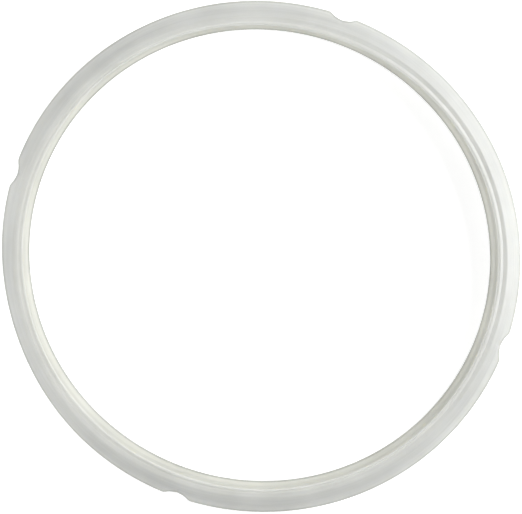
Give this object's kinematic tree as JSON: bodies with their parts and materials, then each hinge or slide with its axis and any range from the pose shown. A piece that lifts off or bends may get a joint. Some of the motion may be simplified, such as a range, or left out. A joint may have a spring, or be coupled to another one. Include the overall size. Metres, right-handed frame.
{
  "type": "pressure cooker sealing ring",
  "caption": "Moulded silicone sealing ring for a pressure cooker lid: two lips with an inward-opening channel between them, and a sloped outer flange with scalloped notches.",
  "frame": {"origin": "on the ring's axis, at the plane that the lower lip rests on", "axes": "+Z along the ring's axis, from the base to the crest; the notches lie midway between +X, +Y, -X and -Y"},
  "size_m": [0.245, 0.245, 0.0128],
  "materials": {
    "silicone": "satin, milky and slightly translucent, with a fine moulded surface"
  },
  "bodies": {
    "root": {"sealing_ring": "silicone"}
  },
  "joints": []
}
